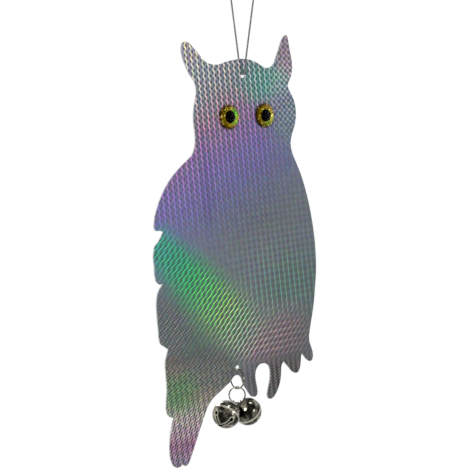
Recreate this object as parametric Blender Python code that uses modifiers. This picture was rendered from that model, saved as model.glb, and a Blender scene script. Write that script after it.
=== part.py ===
"""Reflective owl bird scarer, metres, +Z up.

A flat owl cut from plastic sheet, with prismatic film on both faces, hangs in a loop of thin cord that
passes through a hole in its forehead. Two domed eyes are stuck on its face. Two jingle bells hang on two
wire rings from a second hole. The owl faces -Y. The origin is the inside top of the cord's loop, where a
branch or a rail carries it.
"""

import math

import bmesh
import bpy
import numpy as np
from mathutils import Matrix, Vector

# Plate: a stiff core with a film on each face
PLATE_WIDTH = 0.190
PLATE_HEIGHT = 0.380
CORE_THICKNESS = 0.0008
FILM_THICKNESS = 0.00015
GLUE_GAP = 0.0001
CORD_HOLE_DIAMETER = 0.0045
BELL_HOLE_DIAMETER = 0.0046
HOLE_SIDES = 20
OUTLINE_STEPS = 2

# Cord and its knot
CORD_DIAMETER = 0.0016
CORD_HOLE_GAP = 0.0004
CORD_POINT_SPACING = 0.0042
BIGHT_POINT_SPACING = 0.0016
BIGHT_REACH = 0.018
CORD_JOINT_GAP = 0.0005
KNOT_DIAMETER = 0.0052
KNOT_WAIST_DIAMETER = 0.0040
KNOT_END_DIAMETER = 0.0030
KNOT_TAIL_LENGTH = 0.0075
KNOT_TAIL_TILT = math.radians(38)
KNOT_SIDES = 16

# Eyes
EYE_DIAMETER = 0.022
EYE_HEIGHT = 0.0042
EYE_RIM = 0.0006
PUPIL_DIAMETER = 0.010
PUPIL_THICKNESS = 0.0003
PUPIL_GAP = 0.0002
IRIS_THICKNESS = 0.0002
PAD_DIAMETER = 0.020
PAD_THICKNESS = 0.0003
EYE_SIDES = 32
DOME_RINGS = 7

# Rings
UPPER_RING_OUTSIDE = 0.0188
LOWER_RING_OUTSIDE = 0.0155
RING_WIRE = 0.0012
RING_SEAM = 0.0004
RING_SEAT_GAP = 0.00057
RING_LINK_GAP = 0.0003
RING_POINTS = 40
LOWER_RING_TURN = math.radians(40)
UPPER_SEAM_ANGLE = math.radians(0)
LOWER_SEAM_ANGLE = math.radians(70)

# Bells
BELL_DIAMETER = 0.025
BELL_WALL = 0.0006
BELL_SEAM = 0.0002
BELL_GAP = 0.0003
BELL_SIDES = 32
BELL_RINGS = 6
NECK_HOLE_DIAMETER = 0.0031
SLOT_WIDTH = 0.0018
SLOT_END_DIAMETER = 0.0034
SLOT_REACH = math.radians(58)
SLOT_TURN = math.radians(30)
LOOP_WIRE = 0.00095
LOOP_OPENING = 0.0030
LOOP_NECK = 0.00144
LOOP_FOOT_REACH = 0.0030
LOOP_POINTS = 34
LOOP_CLEARANCE = 0.0003
RING_TO_BELL = 0.0011
PELLET_DIAMETER = 0.0060
PELLET_GAP = 0.0003

# Loop's bent wire, as shares: of the neck's half width, of the eye's half width, and of the foot's radius
NECK_FLARE_SHARES = (1.9, 1.05)
EYE_WIDTH_SHARES = (0.83, 0.46)
EYE_RISE_SHARES = (0.66, 0.93)
FOOT_BEND_SHARE = 0.978

# Working values: how far a cutter passes its cut, what counts as one point, and the sides of round things
CUT_OVERRUN = 0.001
MERGE_DISTANCE = 0.000001
WIRE_RESOLUTION = 2
SLOT_END_SIDES = 16
KNOT_TAIL_SIDES = 10
PELLET_SIDES = 16
PELLET_RINGS = 10
FACET_ANGLE = math.radians(40)
QUARTER_TURN = math.radians(90)

# The cord's route as (y, z) from the lowest point of its centre line. It starts under the knot, runs down
# in front of the owl, through the hole, up behind it and over the branch, and ends on top of the knot.
CORD_ROUTE = (
    (-0.0169, 0.0775),
    (-0.0150, 0.0670),
    (-0.0118, 0.0500),
    (-0.0085, 0.0330),
    (-0.0052, 0.0155),
    (-0.0039, 0.0078),
    (-0.00325, 0.0030),
    (-0.00260, 0.00125),
    (-0.00140, 0.00025),
    (0.0, 0.0),
    (0.00140, 0.00025),
    (0.00260, 0.00125),
    (0.00325, 0.0030),
    (0.0039, 0.0078),
    (0.0052, 0.0155),
    (0.0085, 0.0330),
    (0.0118, 0.0500),
    (0.0150, 0.0670),
    (0.0172, 0.0790),
    (0.0174, 0.0850),
    (0.0135, 0.0934),
    (0.0074, 0.0980),
    (0.0, 0.0996),
    (-0.0074, 0.0980),
    (-0.0135, 0.0934),
    (-0.0171, 0.0851),
)

# The owl's outline from the cord's hole, as shares of the plate's width and height. Each run starts at a
# sharp inner corner, where two feathers or toes meet, and is smooth up to the next run.
OUTLINE_SHARES = (
    (
        (0.385, -0.664), (0.380, -0.671), (0.375, -0.692), (0.364, -0.707), (0.346, -0.711), (0.323, -0.707),
        (0.299, -0.696), (0.278, -0.686),
    ),
    (
        (0.265, -0.680), (0.252, -0.686), (0.247, -0.700), (0.245, -0.718), (0.232, -0.739), (0.211, -0.756),
        (0.185, -0.766), (0.161, -0.762), (0.161, -0.747), (0.174, -0.722), (0.177, -0.703), (0.166, -0.686),
        (0.135, -0.679), (0.101, -0.683), (0.082, -0.697), (0.083, -0.718), (0.093, -0.738), (0.091, -0.753),
        (0.065, -0.756), (0.042, -0.747), (0.023, -0.735), (0.006, -0.725), (-0.003, -0.714), (-0.014, -0.704),
        (-0.036, -0.700), (-0.059, -0.704), (-0.073, -0.713), (-0.099, -0.721), (-0.135, -0.733), (-0.172, -0.744),
        (-0.206, -0.760), (-0.232, -0.783), (-0.258, -0.812), (-0.284, -0.842), (-0.310, -0.872), (-0.328, -0.889),
        (-0.346, -0.895),
    ),
    (
        (-0.363, -0.890), (-0.380, -0.895), (-0.403, -0.895), (-0.424, -0.885), (-0.437, -0.861), (-0.436, -0.830),
        (-0.424, -0.796),
    ),
    (
        (-0.414, -0.781), (-0.435, -0.779), (-0.454, -0.768), (-0.458, -0.749), (-0.453, -0.718), (-0.460, -0.679),
        (-0.462, -0.651),
    ),
    (
        (-0.445, -0.625), (-0.468, -0.618), (-0.492, -0.610), (-0.501, -0.583), (-0.510, -0.544), (-0.511, -0.510),
        (-0.497, -0.489),
    ),
    (
        (-0.471, -0.475), (-0.494, -0.478), (-0.516, -0.468), (-0.524, -0.440), (-0.524, -0.393), (-0.500, -0.381),
    ),
    (
        (-0.474, -0.360), (-0.494, -0.357), (-0.519, -0.357), (-0.525, -0.341), (-0.510, -0.310), (-0.481, -0.278),
        (-0.440, -0.247), (-0.390, -0.221), (-0.338, -0.200), (-0.304, -0.186), (-0.289, -0.167), (-0.287, -0.141),
        (-0.297, -0.109), (-0.294, -0.078), (-0.280, -0.047), (-0.289, -0.023), (-0.317, -0.007), (-0.351, 0.020),
        (-0.367, 0.042), (-0.365, 0.062), (-0.346, 0.069), (-0.297, 0.055), (-0.260, 0.039), (-0.224, 0.025),
        (-0.187, 0.021), (-0.146, 0.022), (-0.104, 0.029), (-0.052, 0.035), (0.000, 0.039), (0.052, 0.037),
        (0.094, 0.031), (0.135, 0.022), (0.164, 0.022), (0.195, 0.031), (0.213, 0.049), (0.234, 0.073),
        (0.255, 0.095), (0.278, 0.103), (0.290, 0.090), (0.299, 0.070), (0.312, 0.047), (0.317, 0.026),
        (0.311, 0.008), (0.294, -0.009), (0.289, -0.021), (0.312, -0.038), (0.333, -0.057), (0.342, -0.081),
        (0.336, -0.109), (0.317, -0.133), (0.307, -0.154), (0.320, -0.180), (0.343, -0.200), (0.375, -0.229),
        (0.406, -0.265), (0.429, -0.299), (0.450, -0.338), (0.466, -0.377), (0.476, -0.416), (0.480, -0.458),
        (0.474, -0.502), (0.466, -0.539), (0.453, -0.575), (0.438, -0.609), (0.434, -0.635), (0.450, -0.654),
        (0.460, -0.674), (0.447, -0.686), (0.416, -0.680), (0.398, -0.671),
    ),
)
BELL_HOLE_SHARES = (-0.032, -0.683)
EYE_LEFT_SHARES = (-0.087, -0.098)
EYE_RIGHT_SHARES = (0.136, -0.091)

# Worked out: the cord and the height of the holes
CORD_RADIUS = CORD_DIAMETER / 2
ROUTE_TOP = max(z for _, z in CORD_ROUTE)
BIGHT_Z = CORD_RADIUS - ROUTE_TOP
CORD_HOLE_Z = BIGHT_Z + CORD_RADIUS + CORD_HOLE_GAP - CORD_HOLE_DIAMETER / 2
BELL_HOLE_X = BELL_HOLE_SHARES[0] * PLATE_WIDTH
BELL_HOLE_Z = CORD_HOLE_Z + BELL_HOLE_SHARES[1] * PLATE_HEIGHT

# Worked out: the plate's layers
FILM_Y = CORE_THICKNESS / 2 + GLUE_GAP + FILM_THICKNESS / 2
FACE_Y = FILM_Y + FILM_THICKNESS / 2

# Worked out: the rings and bells, hung from the lower hole
WIRE_RADIUS = RING_WIRE / 2
UPPER_RADIUS = (UPPER_RING_OUTSIDE - RING_WIRE) / 2
LOWER_RADIUS = (LOWER_RING_OUTSIDE - RING_WIRE) / 2
UPPER_PIVOT = Vector((BELL_HOLE_X, 0, BELL_HOLE_Z - BELL_HOLE_DIAMETER / 2 + RING_SEAT_GAP + WIRE_RADIUS))
UPPER_CENTRE = UPPER_PIVOT - Vector((0, 0, UPPER_RADIUS))
LOWER_PIVOT = UPPER_CENTRE - Vector((0, 0, UPPER_RADIUS))
LOWER_CENTRE = LOWER_PIVOT + Vector((0, 0, RING_WIRE + RING_LINK_GAP - LOWER_RADIUS))
BELL_RADIUS = BELL_DIAMETER / 2
SHELL_INSIDE = BELL_RADIUS - BELL_WALL
BELL_HANG = BELL_RADIUS + RING_TO_BELL + WIRE_RADIUS
PELLET_DROP = SHELL_INSIDE - PELLET_GAP - PELLET_DIAMETER / 2


def clear_scene():
    """Removes what is in the scene, such as the startup cube."""
    for thing in list(bpy.data.objects):
        bpy.data.objects.remove(thing, do_unlink=True)


def new_collection(name):
    collection = bpy.data.collections.new(name)
    bpy.context.scene.collection.children.link(collection)
    return collection


def new_material(name, colour, roughness, metallic=0.0, alpha=1.0):
    material = bpy.data.materials.new(name)
    material.use_nodes = True
    shader = material.node_tree.nodes["Principled BSDF"]
    shader.inputs["Base Color"].default_value = (*colour, 1.0)
    shader.inputs["Roughness"].default_value = roughness
    shader.inputs["Metallic"].default_value = metallic
    shader.inputs["Alpha"].default_value = alpha
    return material


def new_object(name, data, collection, material=None):
    thing = bpy.data.objects.new(name, data)
    collection.objects.link(thing)
    if material:
        data.materials.append(material)
    return thing


def new_pivot(name, place, parent=None, turn=None):
    """An empty on a joint's axis. place and turn are in the world."""
    pivot = bpy.data.objects.new(name, None)
    scarer.objects.link(pivot)
    pivot.empty_display_size = WIRE_RADIUS
    world = Matrix.Translation(place) @ (turn.to_4x4() if turn else Matrix.Identity(4))
    hang(pivot, parent, world)
    return pivot


def hang(thing, parent, world):
    """Parents thing and sets its location and rotation for its place in the world."""
    bpy.context.view_layer.update()
    local = parent.matrix_world.inverted() @ world if parent else world
    thing.parent = parent
    thing.location = local.to_translation()
    thing.rotation_euler = local.to_euler()


def smooth_round(mesh):
    mesh.shade_smooth()
    mesh.set_sharp_from_angle(angle=FACET_ANGLE)


def mesh_from(thing):
    """The finished mesh of an object, with its loose caps welded."""
    bpy.context.view_layer.update()
    graph = bpy.context.evaluated_depsgraph_get()
    mesh = bpy.data.meshes.new_from_object(thing.evaluated_get(graph))
    shape = bmesh.new()
    shape.from_mesh(mesh)
    bmesh.ops.remove_doubles(shape, verts=shape.verts, dist=MERGE_DISTANCE)
    shape.to_mesh(mesh)
    shape.free()
    return mesh


def tube(name, points, diameter, material, parent, world=None):
    """A wire or cord with flat ends along points, which are in the frame of world."""
    curve = bpy.data.curves.new(name, "CURVE")
    curve.dimensions = "3D"
    curve.bevel_depth = diameter / 2
    curve.bevel_resolution = WIRE_RESOLUTION
    curve.use_fill_caps = True
    spline = curve.splines.new("POLY")
    spline.points.add(len(points) - 1)
    for point, place in zip(spline.points, points):
        point.co = (*place, 1.0)
    thing = new_object(name, curve, scarer, material)
    hang(thing, parent, world or Matrix.Identity(4))
    return thing


def turned(name, profile, sides, material, collection, closed=False):
    """A turned shape about Z. The profile runs down its outer side, as (radius, z)."""
    mesh = bpy.data.meshes.new(name)
    count = len(profile)
    edges = [(index, index + 1) for index in range(count - 1)]
    if closed:
        edges.append((count - 1, 0))
    mesh.from_pydata([(radius, 0, z) for radius, z in profile], edges, [])
    thing = new_object(name, mesh, collection, material)
    screw = thing.modifiers.new("turn", "SCREW")
    screw.steps = sides
    screw.render_steps = sides
    screw.use_merge_vertices = True
    screw.merge_threshold = MERGE_DISTANCE
    return thing


def arc(radius, start, end, steps):
    """Points of an arc as (radius from the axis, z), with angles from the +Z pole."""
    angles = np.linspace(start, end, steps + 1)
    return [(radius * math.sin(angle), radius * math.cos(angle)) for angle in angles]


def smooth_line(points, samples=24):
    """A smooth curve through all the points: Catmull-Rom, with even time for even distance."""
    points = np.array(points, float)
    ends = np.vstack([2 * points[0] - points[1], points, 2 * points[-1] - points[-2]])
    line = []
    for before, start, end, after in zip(ends[:-3], ends[1:-2], ends[2:-1], ends[3:]):
        steps = np.sqrt(np.linalg.norm([start - before, end - start, after - end], axis=1))
        enter = ((start - before) / steps[0] - (end - before) / (steps[0] + steps[1])) * steps[1]
        enter = enter + (end - start)
        leave = ((after - end) / steps[2] - (after - start) / (steps[1] + steps[2])) * steps[1]
        leave = leave + (end - start)
        t = np.linspace(0, 1, samples, endpoint=False)[:, None]
        line.append(
            (2 * t**3 - 3 * t**2 + 1) * start
            + (t**3 - 2 * t**2 + t) * enter
            + (3 * t**2 - 2 * t**3) * end
            + (t**3 - t**2) * leave
        )
    line.append(points[-1:])
    return np.vstack(line)


def lengths_along(line):
    return np.concatenate([[0], np.cumsum(np.linalg.norm(np.diff(line, axis=0), axis=1))])


def stretch(line, start, end, spacing):
    """Evenly spaced points of the line between two lengths along it."""
    lengths = lengths_along(line)
    count = max(2, math.ceil((end - start) / spacing) + 1)
    at = np.linspace(start, end, count)
    return [tuple(np.interp(value, lengths, line[:, axis]) for axis in range(3)) for value in at]


def add_outline(curve):
    runs = []
    for run in OUTLINE_SHARES:
        for index, point in enumerate(run):
            runs.append((point, index == 0))
    spline = curve.splines.new("BEZIER")
    spline.bezier_points.add(len(runs) - 1)
    spline.use_cyclic_u = True
    for bezier, ((x_share, z_share), corner) in zip(spline.bezier_points, runs):
        bezier.co = (x_share * PLATE_WIDTH, CORD_HOLE_Z + z_share * PLATE_HEIGHT, 0)
        kind = "VECTOR" if corner else "AUTO"
        bezier.handle_left_type = kind
        bezier.handle_right_type = kind


def add_hole(curve, x, z, diameter):
    spline = curve.splines.new("POLY")
    spline.points.add(HOLE_SIDES - 1)
    spline.use_cyclic_u = True
    for index, point in enumerate(spline.points):
        angle = 2 * math.pi * index / HOLE_SIDES
        point.co = (x + diameter / 2 * math.cos(angle), z + diameter / 2 * math.sin(angle), 0, 1)


def sheet(name, y, thickness, material, parent):
    """One layer of the plate: the owl's outline with its two holes."""
    curve = bpy.data.curves.new(name, "CURVE")
    curve.dimensions = "2D"
    curve.fill_mode = "BOTH"
    curve.extrude = thickness / 2
    curve.resolution_u = OUTLINE_STEPS
    add_outline(curve)
    add_hole(curve, 0, CORD_HOLE_Z, CORD_HOLE_DIAMETER)
    add_hole(curve, BELL_HOLE_X, BELL_HOLE_Z, BELL_HOLE_DIAMETER)
    thing = new_object(name, curve, scarer, material)
    hang(thing, parent, Matrix.Translation((0, y, 0)) @ facing_front())


def facing_front():
    """Turns a shape whose front is +Z so that it faces -Y, with its +Y up."""
    return Matrix.Rotation(QUARTER_TURN, 4, "X")


def make_plate(parent):
    core = new_material("white_plastic_sheet", (0.80, 0.80, 0.78), 0.5)
    film = new_material("prismatic_film", (0.45, 0.48, 0.55), 0.25, 0.6)
    sheet("core_sheet", 0, CORE_THICKNESS, core, parent)
    sheet("front_film", -FILM_Y, FILM_THICKNESS, film, parent)
    sheet("back_film", FILM_Y, FILM_THICKNESS, film, parent)


def cord_line():
    """The whole cord's centre line in the world, from under the knot round to the top of the knot."""
    return smooth_line([(0, y, z + BIGHT_Z) for y, z in CORD_ROUTE])


def make_cord(hanger, bight):
    cord = new_material("pale_nylon_cord", (0.62, 0.62, 0.60), 0.6)
    line = cord_line()
    lengths = lengths_along(line)
    low = lengths[np.argmin(line[:, 2])]
    front_end = low - BIGHT_REACH
    back_end = low + BIGHT_REACH
    front = stretch(line, 0, front_end - CORD_JOINT_GAP, CORD_POINT_SPACING)
    middle = stretch(line, front_end, back_end, BIGHT_POINT_SPACING)
    back = stretch(line, back_end + CORD_JOINT_GAP, lengths[-1], CORD_POINT_SPACING)
    tube("cord_front", front, CORD_DIAMETER, cord, hanger)
    tube("cord_bight", middle, CORD_DIAMETER, cord, bight)
    tube("cord_back", back, CORD_DIAMETER, cord, hanger)
    make_knot(Vector(line[0]), Vector(line[-1]), cord, hanger)


def make_knot(low, high, cord, hanger):
    """The knot as a waisted barrel between the cord's two ends, with a short tail each side."""
    along = (high - low).normalized()
    half = (high - low).length / 2 - LOOP_CLEARANCE
    quarter = half / 2
    profile = [
        (0, half),
        (KNOT_END_DIAMETER / 2, half),
        (KNOT_DIAMETER / 2, quarter),
        (KNOT_WAIST_DIAMETER / 2, 0),
        (KNOT_DIAMETER / 2, -quarter),
        (KNOT_END_DIAMETER / 2, -half),
        (0, -half),
    ]
    knot = turned("loop_knot", profile, KNOT_SIDES, cord, scarer)
    place = Matrix.Translation((low + high) / 2) @ along.to_track_quat("Z", "Y").to_matrix().to_4x4()
    hang(knot, hanger, place)
    for side in (-1, 1):
        lean = Matrix.Rotation(side * KNOT_TAIL_TILT, 4, "Y") @ Matrix.Translation((0, 0, KNOT_TAIL_LENGTH / 2))
        tail = rod_cutter("knot_tail", CORD_DIAMETER, KNOT_TAIL_LENGTH, KNOT_TAIL_SIDES, facing_front() @ lean)
        hang(tail, hanger, place)
        join = knot.modifiers.new("tail", "BOOLEAN")
        join.operation = "UNION"
        join.object = tail


def disc(name, diameter, thickness, material):
    profile = [
        (0, thickness),
        (diameter / 2, thickness),
        (diameter / 2, 0),
        (0, 0),
    ]
    return turned(name, profile, EYE_SIDES, material, scarer)


def make_eye(side, shares, materials, parent):
    """One eye, stacked on the front film: pad, iris disc, pupil, and a dome with a recess for the pupil."""
    pad, iris, pupil, dome = materials
    x = shares[0] * PLATE_WIDTH
    z = CORD_HOLE_Z + shares[1] * PLATE_HEIGHT
    pad_base = FACE_Y + GLUE_GAP
    iris_base = pad_base + PAD_THICKNESS + GLUE_GAP
    pupil_base = iris_base + IRIS_THICKNESS + GLUE_GAP
    layers = (
        (disc(f"eye_pad_{side}", PAD_DIAMETER, PAD_THICKNESS, pad), pad_base),
        (disc(f"eye_iris_{side}", EYE_DIAMETER, IRIS_THICKNESS, iris), iris_base),
        (disc(f"eye_pupil_{side}", PUPIL_DIAMETER, PUPIL_THICKNESS, pupil), pupil_base),
        (make_dome(f"eye_dome_{side}", dome), pupil_base),
    )
    for thing, base in layers:
        hang(thing, parent, Matrix.Translation((x, -base, z)) @ facing_front())


def make_dome(name, material):
    """A spherical cap on a short rim, with a shallow recess in its flat back."""
    rim_radius = EYE_DIAMETER / 2
    rise = EYE_HEIGHT - EYE_RIM
    sphere = (rim_radius**2 + rise**2) / (2 * rise)
    drop = EYE_HEIGHT - sphere
    edge = math.asin(rim_radius / sphere)
    profile = [(radius, z + drop) for radius, z in arc(sphere, 0, edge, DOME_RINGS)]
    profile[0] = (0, EYE_HEIGHT)
    recess_radius = PUPIL_DIAMETER / 2 + PUPIL_GAP
    recess_depth = PUPIL_THICKNESS + PUPIL_GAP
    profile += [
        (rim_radius, 0),
        (recess_radius, 0),
        (recess_radius, recess_depth),
        (0, recess_depth),
    ]
    return turned(name, profile, EYE_SIDES, material, scarer)


def make_eyes(parent):
    materials = (
        new_material("white_foam_tape", (0.85, 0.85, 0.82), 0.9),
        new_material("gold_glitter_card", (0.42, 0.36, 0.12), 0.4, 0.7),
        new_material("black_pupil_card", (0.02, 0.02, 0.03), 0.4),
        new_material("clear_domed_resin", (0.75, 0.72, 0.45), 0.08, 0.0, 0.35),
    )
    make_eye("left", EYE_LEFT_SHARES, materials, parent)
    make_eye("right", EYE_RIGHT_SHARES, materials, parent)


def ring_points(radius, across, seam_angle):
    """A wire ring about its own centre, in the plane of across and Z, open by a seam at seam_angle."""
    half_seam = RING_SEAM / 2 / radius
    angles = np.linspace(seam_angle + half_seam, seam_angle + 2 * math.pi - half_seam, RING_POINTS)
    up = Vector((0, 0, 1))
    return [tuple(radius * (math.cos(angle) * across + math.sin(angle) * up)) for angle in angles]


def make_rings(upper_pivot, lower_pivot):
    steel = new_material("dark_nickel_wire", (0.20, 0.20, 0.21), 0.3, 1.0)
    upper = ring_points(UPPER_RADIUS, Vector((0, 1, 0)), UPPER_SEAM_ANGLE)
    tube("upper_ring", upper, RING_WIRE, steel, upper_pivot, Matrix.Translation(UPPER_CENTRE))
    lower = ring_points(LOWER_RADIUS, across_lower(), LOWER_SEAM_ANGLE)
    tube("lower_ring", lower, RING_WIRE, steel, lower_pivot, Matrix.Translation(LOWER_CENTRE))
    return steel


def across_lower():
    """The level direction in the lower ring's plane."""
    return Vector((math.cos(LOWER_RING_TURN), -math.sin(LOWER_RING_TURN), 0))


def bell_frame(side):
    """(hinge point, turn, centre) of one bell, which leans on the other. side is -1 left, 1 right.

    The bells' centres lie a diameter and a gap apart, on a line along X. Each bell hangs at its own
    distance from the ring's wire, square to the wire, and this fixes how far below the ring it lies.
    """
    apart = (BELL_DIAMETER + BELL_GAP) / 2
    out_of_plane = apart * math.sin(LOWER_RING_TURN)
    in_plane = apart * math.cos(LOWER_RING_TURN)
    reach = LOWER_RADIUS + math.sqrt(BELL_HANG**2 - out_of_plane**2)
    below = math.sqrt(reach**2 - in_plane**2)
    lean = math.atan2(in_plane, below)
    across = across_lower()
    up = Vector((0, 0, 1))
    hinge = LOWER_CENTRE + LOWER_RADIUS * (side * math.sin(lean) * across - math.cos(lean) * up)
    centre = LOWER_CENTRE + Vector((side * apart, 0, -below))
    wire = math.cos(lean) * across + side * math.sin(lean) * up
    axis = (hinge - centre).normalized()
    turn = Matrix((wire.cross(axis), wire, axis)).transposed()
    return hinge, turn, centre


def finish_cutter(name, shape, place):
    """Moves a bmesh to its place and makes it a hidden helper object."""
    bmesh.ops.transform(shape, matrix=place, verts=shape.verts)
    mesh = bpy.data.meshes.new(name)
    shape.to_mesh(mesh)
    shape.free()
    cutter = new_object(name, mesh, cutters)
    cutter.hide_render = True
    cutter.display_type = "WIRE"
    return cutter


def rod_cutter(name, diameter, length, sides, place):
    shape = bmesh.new()
    radius = diameter / 2
    bmesh.ops.create_cone(shape, cap_ends=True, segments=sides, radius1=radius, radius2=radius, depth=length)
    return finish_cutter(name, shape, place)


def slot_cutters():
    """Two crossed slots with round ends, as cutters for a lower shell centred on the origin."""
    reach = BELL_RADIUS * math.sin(SLOT_REACH)
    depth = BELL_RADIUS * math.cos(SLOT_REACH)
    tall = BELL_RADIUS + CUT_OVERRUN - depth
    through = 2 * (BELL_WALL + CUT_OVERRUN)
    made = []
    for turn in (SLOT_TURN, SLOT_TURN + QUARTER_TURN):
        around = Matrix.Rotation(turn, 4, "Z")
        shape = bmesh.new()
        bmesh.ops.create_cube(shape, size=1)
        size = Matrix.Diagonal((2 * reach, SLOT_WIDTH, tall, 1))
        made.append(finish_cutter("slot", shape, around @ Matrix.Translation((0, 0, -depth - tall / 2)) @ size))
        for end in (-1, 1):
            lean = Matrix.Rotation(end * (math.pi - SLOT_REACH), 4, "Y")
            place = around @ lean @ Matrix.Translation((0, 0, BELL_RADIUS))
            made.append(rod_cutter("slot_end", SLOT_END_DIAMETER, through, SLOT_END_SIDES, place))
    return made


def shell_meshes(material):
    """The upper and lower half shells about the bell's centre, as meshes that both bells share."""
    seam = math.asin(BELL_SEAM / 2 / BELL_RADIUS)
    inner_seam = math.asin(BELL_SEAM / 2 / SHELL_INSIDE)
    neck = math.asin(NECK_HOLE_DIAMETER / 2 / BELL_RADIUS)
    inner_neck = math.asin(NECK_HOLE_DIAMETER / 2 / SHELL_INSIDE)
    outer = arc(BELL_RADIUS, neck, QUARTER_TURN - seam, BELL_RINGS)
    inner = arc(SHELL_INSIDE, QUARTER_TURN - inner_seam, inner_neck, BELL_RINGS)
    upper = turned("bell_upper_blank", outer + inner, BELL_SIDES, material, cutters, closed=True)
    # The blank's pole is left open inside the slots' crossing, where nothing of it stays.
    pole = math.asin(SLOT_WIDTH / 4 / BELL_RADIUS)
    outer = arc(BELL_RADIUS, QUARTER_TURN + seam, math.pi - pole, BELL_RINGS)
    inner = arc(SHELL_INSIDE, math.pi - pole, QUARTER_TURN + inner_seam, BELL_RINGS)
    lower = turned("bell_lower_blank", outer + inner, BELL_SIDES, material, cutters, closed=True)
    helpers = slot_cutters()
    for cutter in helpers:
        cut = lower.modifiers.new("slot", "BOOLEAN")
        cut.operation = "DIFFERENCE"
        cut.object = cutter
    meshes = [mesh_from(upper), mesh_from(lower)]
    for mesh in meshes:
        smooth_round(mesh)
    for helper in [upper, lower, *helpers]:
        bpy.data.objects.remove(helper, do_unlink=True)
    return meshes


def loop_points():
    """The bent wire loop in the bell's frame: feet inside the shell, a narrow neck, and a round eye."""
    half_wire = LOOP_WIRE / 2
    foot_radius = SHELL_INSIDE - LOOP_CLEARANCE - half_wire
    side = LOOP_OPENING / 2 + half_wire
    neck = LOOP_NECK / 2
    top = BELL_HANG + WIRE_RADIUS + LOOP_CLEARANCE + half_wire
    shoulder = (side + neck) / 2
    eye = top - side
    half = [
        (LOOP_FOOT_REACH, math.sqrt(foot_radius**2 - LOOP_FOOT_REACH**2)),
        (neck * NECK_FLARE_SHARES[0] + half_wire, foot_radius * FOOT_BEND_SHARE),
        (neck + half_wire / 2, (foot_radius + SHELL_INSIDE) / 2 - half_wire / 3),
        (neck, (BELL_RADIUS + SHELL_INSIDE) / 2),
        (neck * NECK_FLARE_SHARES[1], BELL_RADIUS + half_wire / 2),
        (shoulder, (BELL_RADIUS + eye + half_wire) / 2),
        (side, eye + half_wire / 2),
        (side * EYE_WIDTH_SHARES[0], eye + side * EYE_RISE_SHARES[0]),
        (side * EYE_WIDTH_SHARES[1], eye + side * EYE_RISE_SHARES[1]),
        (0, top),
    ]
    points = half + [(-x, z) for x, z in reversed(half[:-1])]
    line = smooth_line([(x, 0, z) for x, z in points])
    return stretch(line, 0, lengths_along(line)[-1], lengths_along(line)[-1] / LOOP_POINTS)


def make_bell(side, word, shells, materials, lower_pivot):
    """One bell: two half shells, its wire loop, and the loose pellet at the lowest point inside."""
    steel, ball = materials
    hinge, turn, centre = bell_frame(side)
    swing = new_pivot(f"bell_{word}_pivot", hinge, lower_pivot, turn)
    world = Matrix.Translation(centre) @ turn.to_4x4()
    for part, mesh in zip(("upper_shell", "lower_shell"), shells):
        shell = bpy.data.objects.new(f"bell_{word}_{part}", mesh)
        scarer.objects.link(shell)
        hang(shell, swing, world)
    tube(f"bell_{word}_loop", loop_points(), LOOP_WIRE, steel, swing, world)
    roll = new_pivot(f"pellet_{word}_pivot", centre, swing)
    pellet = bpy.data.meshes.new(f"bell_{word}_pellet")
    shape = bmesh.new()
    bmesh.ops.create_uvsphere(
        shape, u_segments=PELLET_SIDES, v_segments=PELLET_RINGS, radius=PELLET_DIAMETER / 2
    )
    shape.to_mesh(pellet)
    shape.free()
    smooth_round(pellet)
    ball_object = new_object(f"bell_{word}_pellet", pellet, scarer, ball)
    hang(ball_object, roll, Matrix.Translation(centre - Vector((0, 0, PELLET_DROP))))


def make_bells(lower_pivot, steel):
    nickel = new_material("black_nickel_shell", (0.10, 0.10, 0.11), 0.2, 1.0)
    ball = new_material("steel_pellet", (0.45, 0.45, 0.46), 0.3, 1.0)
    shells = shell_meshes(nickel)
    for side, word in ((-1, "left"), (1, "right")):
        make_bell(side, word, shells, (steel, ball), lower_pivot)


clear_scene()
scarer = new_collection("owl_bird_scarer")
cutters = new_collection("cutters")

hanger_pivot = new_pivot("hanger", Vector((0, 0, 0)))
twirl_pivot = new_pivot("twirl_pivot", Vector((0, 0, BIGHT_Z + BIGHT_REACH)), hanger_pivot)
swing_pivot = new_pivot("swing_pivot", Vector((0, 0, BIGHT_Z)), twirl_pivot)
ring_pivot = new_pivot("upper_ring_pivot", UPPER_PIVOT, swing_pivot)
link_pivot = new_pivot("lower_ring_pivot", LOWER_PIVOT, ring_pivot)

make_cord(hanger_pivot, twirl_pivot)
make_plate(swing_pivot)
make_eyes(swing_pivot)
wire_steel = make_rings(ring_pivot, link_pivot)
make_bells(link_pivot, wire_steel)
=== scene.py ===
# %% [markdown]
# # A reflective owl that scares birds
#
# A flat owl cut from plastic sheet and faced with prismatic film hangs in a loop of thin cord. Two domed
# eyes are stuck on its face, and two jingle bells hang below it on wire rings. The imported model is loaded
# first, as a fixed frame in metres. Every piece made below goes where that model has it.

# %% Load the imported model
import math

import bmesh
import bpy
import numpy as np
from mathutils import Matrix


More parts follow.
